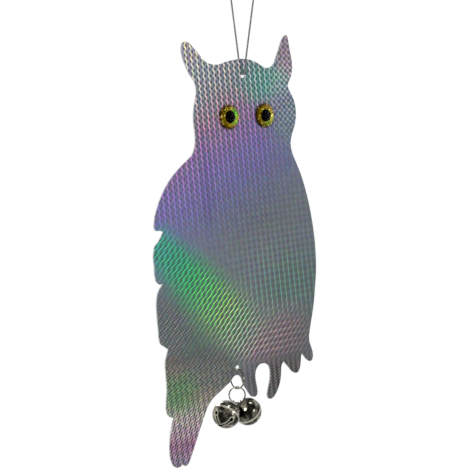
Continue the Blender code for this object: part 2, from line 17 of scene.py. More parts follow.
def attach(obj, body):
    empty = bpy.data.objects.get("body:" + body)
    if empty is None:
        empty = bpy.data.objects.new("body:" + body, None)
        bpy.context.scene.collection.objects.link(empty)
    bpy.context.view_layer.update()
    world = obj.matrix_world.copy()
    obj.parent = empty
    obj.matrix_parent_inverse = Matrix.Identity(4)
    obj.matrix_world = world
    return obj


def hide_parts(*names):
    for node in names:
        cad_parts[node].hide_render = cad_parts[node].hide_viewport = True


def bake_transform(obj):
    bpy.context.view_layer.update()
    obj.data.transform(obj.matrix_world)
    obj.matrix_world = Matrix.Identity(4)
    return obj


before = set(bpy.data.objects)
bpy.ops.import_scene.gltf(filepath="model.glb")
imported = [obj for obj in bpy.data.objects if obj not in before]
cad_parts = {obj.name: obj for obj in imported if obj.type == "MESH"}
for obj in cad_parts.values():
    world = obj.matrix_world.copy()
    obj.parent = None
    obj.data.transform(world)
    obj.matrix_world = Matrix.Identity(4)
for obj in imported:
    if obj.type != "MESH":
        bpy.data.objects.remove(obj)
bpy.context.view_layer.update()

scene = bpy.context.scene

# %% [markdown]
# ## The camera
#
# The photograph looks at the owl from its front left, 41 degrees round and a little from above. The film's
# straight rows and columns give the lens: they run together in the picture as they do through a long one.
# The camera aims along the axis that was worked out from them, so nothing is shifted or rolled.

# %% Camera
CORD_HOLE = np.array((0.0, 0.0, -0.09985))
CAMERA_FROM_HOLE = np.array((-0.88410, -0.99928, -0.09355))
VIEW_ACROSS = math.radians(-41.223)
VIEW_DOWN = math.radians(2.059)
LENS_MM = 114.9
SENSOR_MM = 36.0


def put_in_scene(name, data):
    """A new object that holds a mesh, a camera or a lamp."""
    item = bpy.data.objects.new(name, data)
    scene.collection.objects.link(item)
    return item


camera_data = bpy.data.cameras.new("photo_camera")
camera_data.lens = LENS_MM
camera_data.sensor_width = SENSOR_MM
camera_data.clip_start = 0.05
camera_data.clip_end = 50
camera = put_in_scene("photo_camera", camera_data)
camera.location = CORD_HOLE + CAMERA_FROM_HOLE
camera.rotation_euler = (math.radians(90) - VIEW_DOWN, 0, VIEW_ACROSS)
scene.camera = camera
print("camera at, m:", [round(value, 3) for value in camera.location])

# %% [markdown]
# ## Surfaces from grids
#
# Every new piece is a sheet of points, worked out for a whole grid at once. Rows run along the piece and
# columns run round it. One function makes the faces between neighbours and joins the last column to the
# first. It also writes a UV map in metres, so that a twist or a grain can follow the surface at its real
# size.

# %% Grid to mesh
def piece_from_grids(name, grids, ends="flat"):
    """One object from several grids of points, each of shape (rows, columns, 3), closed round its columns.

    The corner in row r and column c is number r * columns + c. A face joins (r, c), (r, c + 1),
    (r + 1, c + 1) and (r + 1, c), with the column counted round. With ends "flat" the first and last rows
    are one face each, and with "joined" the last row meets the first. Where the volume comes out negative
    the piece is inside out, and its faces are turned.
    """
    points, faces, uv, first = [], [], [], 0
    for grid in grids:
        grid = np.asarray(grid, float)
        rows, columns = grid.shape[:2]
        row, column = np.meshgrid(np.arange(rows - (ends == "flat")), np.arange(columns), indexing="ij")
        here, below = row * columns, (row + 1) % rows * columns
        after = (column + 1) % columns
        quads = np.stack([here + column, here + after, below + after, below + column], axis=-1)
        along = np.linalg.norm(np.roll(grid, -1, axis=0) - grid, axis=2).mean(axis=1)
        along = np.concatenate([[0], np.cumsum(along)])
        step = np.linalg.norm(np.roll(grid, -1, axis=1) - grid, axis=2).sum(axis=1).max() / columns
        corner_u = np.stack([column, column + 1, column + 1, column], axis=-1).reshape(-1, 4) * step
        corner_v = along[np.stack([row, row, row + 1, row + 1], axis=-1).reshape(-1, 4)]
        faces += (quads + first).reshape(-1, 4).tolist()
        uv.append(np.stack([corner_u, corner_v], axis=-1).reshape(-1, 2))
        if ends == "flat":
            for end in (np.arange(columns)[::-1], (rows - 1) * columns + np.arange(columns)):
                faces.append((end + first).tolist())
                uv.append(np.zeros((columns, 2)))
        points.append(grid.reshape(-1, 3))
        first += rows * columns
    mesh = bpy.data.meshes.new(name)
    mesh.from_pydata(np.concatenate(points).tolist(), [], faces)
    mesh.validate()
    layer = mesh.uv_layers.new(name="UVMap")
    layer.data.foreach_set("uv", np.concatenate(uv).astype(np.float32).ravel())
    mesh.polygons.foreach_set("use_smooth", np.ones(len(faces), bool))
    solid = bmesh.new()
    solid.from_mesh(mesh)
    volume = solid.calc_volume(signed=True)
    solid.free()
    if volume < 0:
        mesh.flip_normals()
    print(f"{name}: {len(faces)} faces, {abs(volume) * 1e9:.1f} cubic mm")
    return put_in_scene(name, mesh)

# %% [markdown]
# ## A profile carried along a path
#
# Cords, wires and the knot are all a round profile that travels along a line. At each point of the line
# the profile stands square to it. A fixed direction, which never lies along the line, keeps it from
# turning on the way.

# %% Sweep
def smooth_line(points, samples=24):
    """A smooth curve through all the points, in which a cubic joins each to the next. Its slope at a point
    comes from the neighbours on both sides, and the time between two is the root of their distance."""
    points = np.array(points, float)
    ends = np.vstack([2 * points[0] - points[1], points, 2 * points[-1] - points[-2]])
    before, start, end, after = (ends[i : len(ends) - 3 + i, None] for i in range(4))
    gaps = (start - before, end - start, after - end)
    spans = [np.sqrt(np.linalg.norm(gap, axis=2, keepdims=True)) for gap in gaps]
    enter = (gaps[0] / spans[0] - (end - before) / (spans[0] + spans[1])) * spans[1] + gaps[1]
    leave = (gaps[2] / spans[2] - (after - start) / (spans[1] + spans[2])) * spans[1] + gaps[1]
    t = np.linspace(0, 1, samples, endpoint=False)[None, :, None]
    line = (2 * t**3 - 3 * t**2 + 1) * start + (t**3 - 2 * t**2 + t) * enter
    line = line + (3 * t**2 - 2 * t**3) * end + (t**3 - t**2) * leave
    return np.vstack([line.reshape(-1, 3), points[-1:]])


def unit(vectors):
    """The same directions at length 1."""
    return vectors / np.linalg.norm(vectors, axis=-1, keepdims=True)


def lengths_along(line):
    """The distance from a line's start to each of its points."""
    return np.concatenate([[0], np.cumsum(np.linalg.norm(np.diff(line, axis=0), axis=1))])


def evenly(line, spacing):
    """Points at even distances along a line, as far apart as spacing or a little closer."""
    lengths = lengths_along(line)
    at = np.linspace(0, lengths[-1], int(np.ceil(lengths[-1] / spacing)) + 1)
    return np.stack([np.interp(at, lengths, line[:, axis]) for axis in range(3)], axis=1), at


def sweep(line, radius, upright, sides=16, twist=0.0, lobes=0, depth=0.0):
    """A tube's grid: the line plus radius times (cos of the angle, sin of the angle) in the square plane.

    The plane's first direction is the tangent crossed with upright. Strands, if any, swell the radius by
    depth times the cosine of lobes times the angle, less the twist in radians per metre.
    """
    tangent = unit(np.gradient(line, axis=0))
    side = unit(np.cross(tangent, upright))
    normal = np.cross(side, tangent)
    angle = np.linspace(0, 2 * np.pi, sides, endpoint=False)[None, :]
    swell = 1 + depth * (np.cos(lobes * (angle - twist * lengths_along(line)[:, None])) - 1)
    size = np.asarray(radius).reshape(-1, 1) * swell
    return line[:, None] + size[..., None] * (
        np.cos(angle)[..., None] * side[:, None] - np.sin(angle)[..., None] * normal[:, None]
    )

# %% [markdown]
# ## The hanging cord
#
# The owl hangs on thin laid nylon cord, 1.6 mm across. The photograph shows its two strands from the hole
# up to the top edge, and not its far end, so the part has the loop that such an owl is sold with: it goes
# over a branch and its ends are knotted together. Nothing slides on it, so it is one closed ring with the
# knot in it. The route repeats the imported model's, and a shallow three-strand twist is cut into the tube.

# %% Cord
BIGHT_Z = -0.0988
CORD_DIAMETER = 0.0016
CORD_STEP = 0.0004
LAY_LENGTH = 0.0065
LAY = {"twist": 2 * math.pi / LAY_LENGTH, "lobes": 3, "depth": 0.09}
BACK_STRAND = (
    (0.00140, 0.00025), (0.00260, 0.00125), (0.00325, 0.0030), (0.0039, 0.0078), (0.0052, 0.0155),
    (0.0085, 0.0330), (0.0118, 0.0500), (0.0150, 0.0670),
)
FRONT_STRAND = tuple((-y, z) for y, z in BACK_STRAND[::-1])
ARCH = (
    (0.0172, 0.0790), (0.0174, 0.0850), (0.0135, 0.0934), (0.0074, 0.0980), (0.0, 0.0996),
    (-0.0074, 0.0980), (-0.0135, 0.0934), (-0.0171, 0.0851),
)
CORD_ROUTE = ((-0.0169, 0.0775), *FRONT_STRAND, (0.0, 0.0), *BACK_STRAND, *ARCH)

cord_line, cord_lengths = evenly(smooth_line([(0, y, z + BIGHT_Z) for y, z in CORD_ROUTE]), CORD_STEP)
cord_grid = sweep(cord_line, CORD_DIAMETER / 2, (1, 0, 0), 18, **LAY)
hanging_cord = piece_from_grids("hanging_cord", [cord_grid])

# %% [markdown]
# ## The knot
#
# The cord's two ends lie side by side in an overhand knot, and their cut tails stand out of it. The knot
# is drawn as the turns that show: a straight core, two coils round it that lean opposite ways and meet in
# the middle, and a tail out of each.

# %% Knot
KNOT_LOW = cord_line[0]
KNOT_HIGH = cord_line[-1]
KNOT_STEP = 0.00035
COIL_RADIUS = 0.00172
COIL_TURNS = 1.45
COIL_START = math.radians(40)
COIL_BASE = 0.00075
COIL_CLIMB = 0.0020
CORE_SWELL = 1.12
TAIL_TILT = math.radians(38)
TAIL_REACH = 0.0073


def knot_strand(side):
    """One end of the cord: its tail, then a turn and a half of coil that climbs to the knot's end.

    Round the knot's axis the coil is at COIL_RADIUS times (cos, sin) of the angle, and its height grows
    evenly with the angle. Its last fifth draws in. side is -1 for the lower end and its tail towards -X,
    and 1 for the upper one.
    """
    turn = np.linspace(0, 1, 28)
    angle = math.radians(-90) + side * (COIL_START + turn * 2 * math.pi * COIL_TURNS)
    height = side * (COIL_BASE + turn * COIL_CLIMB)
    radius = COIL_RADIUS * np.interp(turn, (0, 0.82, 1), (1, 1, 0.55))
    coil = np.stack([radius * np.cos(angle), radius * np.sin(angle), height], axis=1)
    tip = np.array((side * math.sin(TAIL_TILT), -math.cos(TAIL_TILT), 0)) * TAIL_REACH
    tail = np.array([tip, tip * 0.72, coil[0] + (tip - coil[0]) * 0.30])
    return np.vstack([tail, coil])


knot_axis = unit(KNOT_HIGH - KNOT_LOW)
knot_side = np.array((1.0, 0.0, 0.0))
knot_turn = np.stack([knot_side, np.cross(knot_axis, knot_side), knot_axis], axis=1)
knot_middle = (KNOT_LOW + KNOT_HIGH) / 2
strands = []
for side in (-1, 1):
    strand, _ = evenly(smooth_line(knot_strand(side), 8) @ knot_turn.T + knot_middle, KNOT_STEP)
    strands.append(sweep(strand, CORD_DIAMETER / 2, knot_axis, 14, **LAY))
straight = np.array([KNOT_LOW + knot_axis * CORD_STEP, KNOT_HIGH - knot_axis * CORD_STEP])
straight, _ = evenly(straight, CORD_STEP)
strands.append(sweep(straight, CORD_DIAMETER / 2 * CORE_SWELL, knot_side, 14))
cord_knot = piece_from_grids("cord_knot", strands)
print("knot, mm between the cord's ends:", round(1000 * float(np.linalg.norm(KNOT_HIGH - KNOT_LOW)), 1))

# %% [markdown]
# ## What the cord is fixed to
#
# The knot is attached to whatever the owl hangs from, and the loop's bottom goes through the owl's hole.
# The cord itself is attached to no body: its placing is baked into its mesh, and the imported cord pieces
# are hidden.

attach(cord_knot, "hanger")
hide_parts("loop_knot")
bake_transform(hanging_cord)
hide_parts("cord_front", "cord_back", "cord_bight")

# %% [markdown]
# ## Colours and nodes
#
# Colours are chosen as sRGB hex values, as a picture editor shows them, and the shader wants linear light,
# so one function turns one into the other. A second small function adds any node with its settings and
# links, and the last ones start a material, end it and put it on a piece.

# %% Material helpers
def linear(hex_colour):
    """sRGB hex to linear: under 0.04045 a straight line, above it a power of 2.4."""
    value = np.array([int(hex_colour[i : i + 2], 16) / 255 for i in (1, 3, 5)])
    value = np.where(value <= 0.04045, value / 12.92, ((value + 0.055) / 1.055) ** 2.4)
    return (*value.tolist(), 1.0)


def add(tree, kind, *values, stops=None, **named):
    """Adds a node. values fill its inputs in order, each with a number or a link. What is named in small
    letters is a setting of the node, and what starts with a capital is one more input."""
    node = tree.nodes.new("ShaderNode" + kind)
    pairs = list(zip(node.inputs, values))
    for name, value in named.items():
        if name[0].isupper():
            pairs.append((node.inputs[name], value))
        else:
            setattr(node, name, value)
    if stops:
        band = node.color_ramp.elements
        while len(band) < len(stops):
            band.new(0.5)
        for element, (position, colour) in zip(band, stops):
            element.position = position
            element.color = linear(colour) if isinstance(colour, str) else (colour, colour, colour, 1)
    for socket, value in pairs:
        if isinstance(value, bpy.types.NodeSocket):
            tree.links.new(value, socket)
        elif value is not None:
            socket.default_value = value
    return next((output for output in node.outputs if output.enabled), None)


def new_material(name, coordinates="Object", **sockets):
    """A material with one Principled shader, and the coordinates that its patterns are laid out in. Values
    the same all over go straight on the shader's sockets."""
    material = bpy.data.materials.new(name)
    material.use_nodes = True
    shader = material.node_tree.nodes["Principled BSDF"]
    for socket, value in sockets.items():
        shader.inputs[socket.replace("_", " ")].default_value = value
    place = add(material.node_tree, "TexCoord").node.outputs[coordinates]
    return material, material.node_tree, shader, place


def finish(tree, shader, colour, height, strength, distance, roughness=None):
    """Gives the shader its colour, its roughness, and bumps up to distance metres high."""
    bump = add(tree, "Bump", Strength=strength, Distance=distance, Height=height)
    for socket, value in (("Base Color", colour), ("Normal", bump), ("Roughness", roughness)):
        if value is not None:
            tree.links.new(value, shader.inputs[socket])


def dress(thing, material):
    """Puts the one material on a piece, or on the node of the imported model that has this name."""
    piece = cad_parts.get(thing, thing)
    piece.data.materials.clear()
    piece.data.materials.append(material)
    print(f"{piece.name} is {material.name}")

# %% [markdown]
# ## Laid nylon cord
#
# Thin three-strand nylon, mid grey and a little glossy. The strands are in the tube's shape. The finish
# adds the fine filaments, which follow the lay. Real ones are too thin to show, so they are drawn 0.35 mm
# wide, with darker places every few millimetres where the cord has been handled.

# %% Cord material
LAY_ANGLE = 0.62

nylon, tree, shader, place = new_material("laid_nylon_cord", "UV", Roughness=0.45)
lay = add(tree, "Mapping", place, None, (0, 0, LAY_ANGLE), (1, 1, 1))
filaments = add(tree, "TexWave", lay, 900.0, 1.5, 2.0, 1.5, bands_direction="X").node.outputs["Fac"]
soil = add(tree, "TexNoise", place, Scale=350.0, Detail=3.0)
mixed = add(tree, "Math", filaments, soil, operation="MULTIPLY")
# The ramp darkens where the filaments dip: painted shade in the grooves, with the noise's darker handled
# places.
tint = add(tree, "ValToRGB", mixed, stops=((0.05, "#3a3a3b"), (0.30, "#606061"), (0.65, "#8c8c8e")))
finish(tree, shader, tint, filaments, 0.5, 0.0001)
dress(hanging_cord, nylon)
dress(cord_knot, nylon)

# %% [markdown]
# ## Embossed holographic film
#
# Both faces are covered with metallised polyester film. A press has embossed it with a lattice of small
# prism cells, 6 mm wide and 5.4 mm high, and each cell splits a lamp's light into colours, so the sheet
# shows streaks of spectrum on a slate-grey ground. A shader could split light for real, but that needs far
# more samples than a render has, and the colours would be lost in an export. So the streaks are laid on
# the sheet where the photograph has them: each is a ramp of spectrum colours along a line, soft across it.
# MM is the unit of the straightened photograph, a millimetre to about one part in a hundred.

# %% The lattice of cells
MM = 0.00098885
COLUMN_TILT = math.radians(5.6)
ROW_TILT = math.radians(7.9)
COLUMN_STEP = 6.0 * MM * np.array((math.cos(COLUMN_TILT), math.sin(COLUMN_TILT)))
ROW_STEP = 5.5 * MM * np.array((math.sin(ROW_TILT), -math.cos(ROW_TILT)))
CELLS = np.linalg.inv(np.stack([COLUMN_STEP, ROW_STEP], axis=1))
print("cells per metre, across and down:", CELLS.round(1).tolist())

film, tree, shader, place = new_material("embossed_holographic_film", Metallic=0.45)
column = add(tree, "VectorMath", place, (CELLS[0, 0], 0, CELLS[0, 1]), operation="DOT_PRODUCT")
row = add(tree, "VectorMath", place, (CELLS[1, 0], 0, CELLS[1, 1]), operation="DOT_PRODUCT")
in_row = add(tree, "Math", row, operation="FRACT")

# %% [markdown]
# ## Spots, streaks and lines
#
# A few short recipes draw everything on the film. A spot is 1 in its middle and fades out at its reach. A
# streak gives how far a point lies along a line and across it. A line is 1 wherever a count of cells is
# whole, and its width is a share of a cell. Places are given as they were measured on the straightened
# photograph.

# %% Recipes for the film
def on_plate(across, down):
    """The place in the model of a point given in units of MM across and down from the cord's hole."""
    return (across * MM, 0.0, float(CORD_HOLE[2]) - down * MM)


def ease(value, start, end):
    """0 before start, 1 after end, and smooth between them, also when end is the lower one."""
    return add(tree, "MapRange", value, start, end, 0.0, 1.0, interpolation_type="SMOOTHSTEP")


def nearness(centre, reach, turn=0):
    """1 at the centre and evenly less out to 0 on an oval of that reach in metres, turned clockwise."""
    size = (reach[0], 1, reach[1])
    near = add(tree, "Mapping", place, centre, (0, math.radians(turn), 0), size, vector_type="TEXTURE")
    return add(tree, "TexGradient", near, gradient_type="SPHERICAL").node.outputs["Fac"]


def spot(centre, reach, turn=0, core=0.8):
    """A smooth spot on the plate, 0 at the reach and 1 where the nearness is core or more."""
    return ease(nearness(on_plate(*centre), (reach[0] * MM, reach[1] * MM), turn), 0.0, core)


def streak(start, length, turn):
    """(share of the way along, distance across in millimetres, positive to the upper right)."""
    turned, size = (0, math.radians(turn), 0), (length * MM, 1, MM)
    print(f"streak from {start}: {length} long, turned {turn} degrees")
    along = add(tree, "Mapping", place, on_plate(*start), turned, size, vector_type="TEXTURE")
    parts = add(tree, "SeparateXYZ", along).node.outputs
    return parts["X"], parts["Z"]


def line(count, width, between=0.0):
    """1 where count is a whole number, falling smoothly at width to each side to what is left between."""
    away = add(tree, "Math", count, 0.5, operation="PINGPONG")
    return add(tree, "MapRange", away, 0.0, width, 1.0, between, interpolation_type="SMOOTHSTEP")


def times(*values):
    """The product of all the values."""
    product = values[0]
    for value in values[1:]:
        product = add(tree, "Math", product, value, operation="MULTIPLY")
    return product


def most(*values):
    """The largest of all the values."""
    largest = values[0]
    for value in values[1:]:
        largest = add(tree, "Math", largest, value, operation="MAXIMUM")
    return largest


def laid_over(colour, *layers):
    """The colour with each (share, colour) of the layers laid over it in turn."""
    for share, layer in layers:
        colour = add(tree, "MixRGB", share, colour, linear(layer) if isinstance(layer, str) else layer)
    return colour


across_plate, _, height = add(tree, "SeparateXYZ", place).node.outputs
down_plate = add(tree, "MapRange", height, on_plate(0, 0)[2], on_plate(0, 1)[2], 0.0, 1.0, clamp=False)

# %% [markdown]
# ## The upper streak
#
# It runs down from the left ear to the breast: straw yellow, cream, rose, orchid, violet and slate blue.
# The lines are brightest in the ear and over the forehead, and they grow fainter down the breast.

# %% Upper streak
upper, _ = streak((-29, -44), 184, 61.2)
upper_ground = add(tree, "ValToRGB", upper, stops=(
    (0.02, "#928a9e"), (0.14, "#787f8e"), (0.26, "#68757e"), (0.38, "#6b6473"),
    (0.50, "#645a7e"), (0.60, "#605a88"), (0.72, "#5c5b84"), (0.84, "#5d6278"), (1.0, "#5e656c"),
))
upper_light = add(tree, "ValToRGB", upper, stops=(
    (0.02, "#ffffb0"), (0.12, "#fffcd4"), (0.20, "#fff6ea"), (0.30, "#ffd6de"), (0.40, "#ffa8dc"),
    (0.50, "#de9aea"), (0.60, "#b88ae8"), (0.70, "#9583da"), (0.80, "#7f82ba"), (1.0, "#788289"),
))
upper_glow = add(tree, "ValToRGB", upper, stops=(
    (0.02, "#b0a484"), (0.14, "#a8989c"), (0.26, "#b08c96"), (0.36, "#c46c94"), (0.46, "#bc60b0"),
    (0.56, "#9c60c4"), (0.68, "#7e64c4"), (0.80, "#6c6cac"), (1.0, "#68707c"),
))
upper_force = add(tree, "ValToRGB", upper, stops=(
    (0.0, 1.0), (0.22, 0.95), (0.38, 0.82), (0.50, 0.70),
    (0.62, 0.62), (0.74, 0.52), (0.88, 0.40), (1.0, 0.28),
))

# %% [markdown]
# ## The lower streak
#
# It crosses from the wing feathers to the toes: emerald, green, yellow green, cream, rose and mauve. It is
# narrow at the feathers and opens out over the belly, so its width grows with the way along it.

# %% Lower streak
lower, lower_across = streak((-97, 153), 200, 42)
lower_ground = add(tree, "ValToRGB", lower, stops=(
    (0.0, "#2f766c"), (0.15, "#28765e"), (0.26, "#36745c"), (0.36, "#446e5c"),
    (0.50, "#566456"), (0.62, "#5c5c52"), (0.75, "#564f55"), (1.0, "#4e474b"),
))
lower_glow = add(tree, "ValToRGB", lower, stops=(
    (0.0, "#2ca080"), (0.15, "#28a06c"), (0.25, "#1cae4c"), (0.36, "#22b43c"), (0.48, "#34b048"),
    (0.57, "#44a468"), (0.66, "#5c9880"), (0.74, "#a07486"), (0.86, "#94747e"), (1.0, "#7c6c74"),
))
lower_light = add(tree, "ValToRGB", lower, stops=(
    (0.0, "#4cc8a8"), (0.12, "#44c48a"), (0.24, "#58e478"), (0.34, "#a0f484"), (0.46, "#e0ff94"),
    (0.56, "#ecffd4"), (0.64, "#f4ffea"), (0.74, "#fff0ea"), (0.86, "#dcc0cc"), (1.0, "#ac9ea4"),
))
lower_width = add(tree, "Math", lower, 24.0, 20.0, operation="MULTIPLY_ADD")
lower_middle = add(tree, "Math", lower, 10.0, 2.0, operation="MULTIPLY_ADD")
lower_band = add(tree, "Math", lower_across, lower_middle, operation="SUBTRACT")
lower_band = add(tree, "Math", lower_band, operation="ABSOLUTE")
lower_band = add(tree, "Math", lower_band, lower_width, operation="DIVIDE")
lower_band = times(ease(lower_band, 1.40, 0.25), ease(lower, -0.10, -0.02), ease(lower, 1.0, 0.80))
rose = spot((50, 240), (66, 48), 0, 0.9)
lower_share = times(most(lower_band, rose), ease(down_plate, 268, 248))

# %% [markdown]
# ## The tail streak
#
# The tail has a third and fainter streak, from grey through cream to mauve and lilac.

# %% Tail streak
tail, _ = streak((-60, 250), 100, 90)
tail_ground = add(tree, "ValToRGB", tail, stops=(
    (0.0, "#414340"), (0.25, "#42423d"), (0.45, "#403c3a"),
    (0.60, "#40303a"), (0.80, "#3a2235"), (1.0, "#322a3c"),
))
tail_light = add(tree, "ValToRGB", tail, stops=(
    (0.0, "#979d98"), (0.25, "#a0a69c"), (0.42, "#dcdcc8"), (0.52, "#fffcf0"),
    (0.62, "#ffeaf4"), (0.75, "#dca8d0"), (0.88, "#d0c4dc"), (1.0, "#c4c0ce"),
))
tail_share = times(ease(down_plate, 236, 262), ease(across_plate, 0.0, -0.025))
tail_marks = times(ease(down_plate, 272, 292), ease(across_plate, 0.0, -0.025))

# %% [markdown]
# ## Three coats of colour
#
# The film is painted as three whole pictures: the ground between the lines, the lines themselves, and the
# glow beside them. Each starts from the upper streak's colours, and the other streaks and a few soft spots
# are laid over it, such as the green over the right brow and the grey of the lower feathers.

# %% Ground, light and glow
green_tip = spot((-74, 279), (34, 27))
left_feathers = spot((-80, 224), (66, 52), -20)
left_rump = spot((-40, 262), (50, 34))
ground = laid_over(
    upper_ground,
    (spot((30, 4), (56, 30), -8), "#428278"), (spot((53, -26), (22, 28)), "#6c6474"),
    # The narrow dark violet band down the breast, at (-42, 98), is a painted shadow line.
    (times(spot((-42, 98), (11, 74), -5), 0.45), "#4c4478"),
    (spot((58, 36), (40, 48)), "#566472"), (spot((66, 200), (72, 66)), "#515f5f"),
    (left_feathers, "#41474a"), (left_rump, "#3b3f3d"), (spot((50, 275), (80, 36)), "#332f2e"),
    (times(spot((-48, 232), (36, 20), -30), 0.5), "#2f5a3c"),
    (lower_share, lower_ground), (tail_share, tail_ground), (times(green_tip, 0.8), "#2c4733"),
    (times(spot((-80, 256), (20, 16)), 0.6), "#57423e"),
    (times(spot((-46, 284), (26, 13)), 0.7), "#4f403a"),
)
light = laid_over(
    upper_light,
    (spot((34, 4), (54, 30), -8), "#dceaec"), (spot((52, -20), (22, 24)), "#f0cade"),
    (spot((57, 38), (40, 50)), "#aab6c6"), (spot((50, 196), (84, 60)), "#62aa90"),
    (left_feathers, "#959c9c"), (spot((50, 275), (80, 32)), "#9a9094"),
    (lower_share, lower_light), (tail_share, tail_light), (times(green_tip, 0.9), "#94c884"),
)
glow = laid_over(
    upper_glow,
    (spot((34, 4), (54, 30), -8), "#4c9484"), (spot((57, 38), (40, 50)), "#68748c"),
    (lower_share, lower_glow), (tail_marks, "#a04c8c"), (green_tip, "#508c4c"),
)
print("nodes in the film's three coats:", len(tree.nodes))

# %% [markdown]
# ## What each cell shows
#
# A cell's facets light up one after another as the light goes round, so the lattice reads differently from
# place to place. On the head and breast the light stands in upright lines, and over the belly in slanted
# ones. Both bend aside and back in each row, with a dark patch of painted shade at the inside of every
# bend. At the right of the head the light crosses in a small mesh, and at the right of the belly it stands
# in thin upright lines with a dark square of painted shade in every cell. On the lower feathers, the feet
# and the tail it breaks up into short strokes. Every kind is made of lines that cross the lattice a whole
# number of times in a column and in a row of cells, so they all keep step with the cells.
#
# A bright line on such film is pale in its middle, where all the colours meet, and strongly coloured at its
# flanks. So each pale line has a wider and fainter one under it, the glow, in the streak's full colour.

# %% Lines that keep step with the cells
def cell_lines(per_column, per_row, width, bend=0.0, shift=0.0, between=0.0):
    """Lines that pass so often in each column and row. In every row they bend aside by bend and back."""
    count = add(tree, "Math", row, per_row, shift, operation="MULTIPLY_ADD")
    count = add(tree, "Math", column, per_column, count, operation="MULTIPLY_ADD")
    count = add(tree, "Math", sway, bend, count, operation="MULTIPLY_ADD")
    return line(count, width, between)


def marks(lowest, highest, *lines):
    """Short strokes where lines meet: the sum of the lines, eased from lowest to highest."""
    total = 0.0
    for value in lines:
        total = add(tree, "Math", total, value)
    return ease(total, lowest, highest)


# Painted shade: the size of the dark patches inside each bend of the lit lines.
SHADE_PATCH_WIDTH = 0.31
SHADE_PATCH_HEIGHT = 0.48
LEAST_LIT = 0.36


def wavy(per_column, per_row, width, bend):
    """(the lines, the wider glow under them, the patches of painted shade inside their bends). The lines
    are brightest a quarter of a row down, and the shade patches lie a quarter of a column to each side of
    the lines' middle."""
    lines = times(cell_lines(per_column, per_row, width, bend), cell_lines(0, 1, 0.5, 0, -0.25, LEAST_LIT))
    glow = cell_lines(per_column, per_row, 2 * width, bend, -0.08)
    aside = math.copysign(0.25, bend)
    shade_patches = [
        times(
            cell_lines(per_column, per_row, SHADE_PATCH_WIDTH, 0, bend / 2 + across),
            cell_lines(0, 1, SHADE_PATCH_HEIGHT, 0, down),
        )
        for across, down in ((aside, 0.0), (-aside, 0.5))
    ]
    return lines, glow, most(*shade_patches)


sway = add(tree, "Math", ease(in_row, 0.0, 0.5), ease(in_row, 0.5, 1.0), operation="SUBTRACT")
sway = times(sway, most(add(tree, "MapRange", upper, 0.3, 0.65, 1.0, 0.40), lower_share))
upright, upright_glow, upright_shade_patches = wavy(1, 0, 0.15, -0.24)
slanted, slanted_glow, slanted_shade_patches = wavy(1, 1, 0.15, 0.14)
slanted_force = add(tree, "MapRange", lower, 0.0, 0.42, 0.62, 0.88)
thin = times(cell_lines(1, 0, 0.17), cell_lines(0, 1, 0.5, between=0.55))
square = times(cell_lines(1, 0, 0.45, shift=0.5), cell_lines(0, 1, 0.45, shift=0.5))
mesh = marks(0.60, 1.85, cell_lines(1, 1, 0.5), cell_lines(1, -1, 0.5))
grains = marks(1.0, 2.7, cell_lines(1, 1, 0.5), cell_lines(1, 2, 0.5), cell_lines(2, -1, 0.5))
toe_strokes = marks(0.8, 1.9, cell_lines(1, 0, 0.5), cell_lines(1, 2, 0.5))
tail_strokes = marks(0.45, 1.25, cell_lines(2, 1, 0.5), times(0.25, cell_lines(1, 2, 0.5)))
print("and with its lines:", len(tree.nodes))

# %% Where each kind shows, and how strongly
to_right = add(tree, "MapRange", across_plate, 0.026, 0.062, 1.0, 0.30)
head_right = spot((61, 12), (41, 66))
above_tail = ease(tail_marks, 1.0, 0.0)
low_left = times(most(left_feathers, left_rump, tail_share), above_tail)
feet = ease(down_plate, 244, 268)
not_rose = add(tree, "MapRange", rose, 0.0, 1.0, 1.0, 0.45)
not_lower, between_grains, between_mesh = (
    add(tree, "Math", 1.0, share, operation="SUBTRACT") for share in (lower_share, grains, mesh)
)
head_lines = times(ease(down_plate, 165, 120), to_right, not_lower)
shade = most(
    times(between_mesh, head_right, 0.44),
    times(square, spot((45, 170), (125, 130)), not_lower, 0.50),
    times(between_grains, low_left, not_lower, 0.35),
    times(square, rose, 0.55),
)
upright_shade_strength = add(tree, "MapRange", upper, 0.3, 0.65, 0.95, 0.48)
# Painted shade: dark patches inside the lines' bends, laid over the ground in #16141d.
patch_shade_share = most(
    times(upright_shade_patches, head_lines, upright_shade_strength),
    times(slanted_shade_patches, lower_share, not_rose, 0.78),
)
shaded = laid_over(ground, (shade, "#2b2f38"), (patch_shade_share, "#16141d"))
force = most(
    times(upright, upper_force, head_lines),
    times(mesh, head_right, 0.62),
    times(slanted, slanted_force, lower_share, not_rose),
    times(cell_lines(0, 1, 0.30), cell_lines(1, 1, 0.5, between=0.2), rose, lower_share, 0.32),
    times(thin, spot((45, 186), (92, 76)), not_lower, 0.75),
    times(grains, low_left, not_lower, 0.52),
    times(toe_strokes, feet, not_lower, 0.50),
    times(tail_strokes, tail_marks, 0.48),
    times(thin, not_lower, above_tail, 0.20),
)
glow_force = most(
    times(upright_glow, upper_force, head_lines, 0.25),
    times(slanted_glow, lower_share, not_rose, 0.90),
    times(cell_lines(1, 0, 0.30), tail_marks, 0.12),
)
print("and with each in its place:", len(tree.nodes))

# %% [markdown]
# ## Sparkle, relief and gloss
#
# No two facets are pressed quite alike, so each quarter of a cell gets its own brightness and a trace of
# its own tint. The lit lines stand up a little and are glossier than the ground.

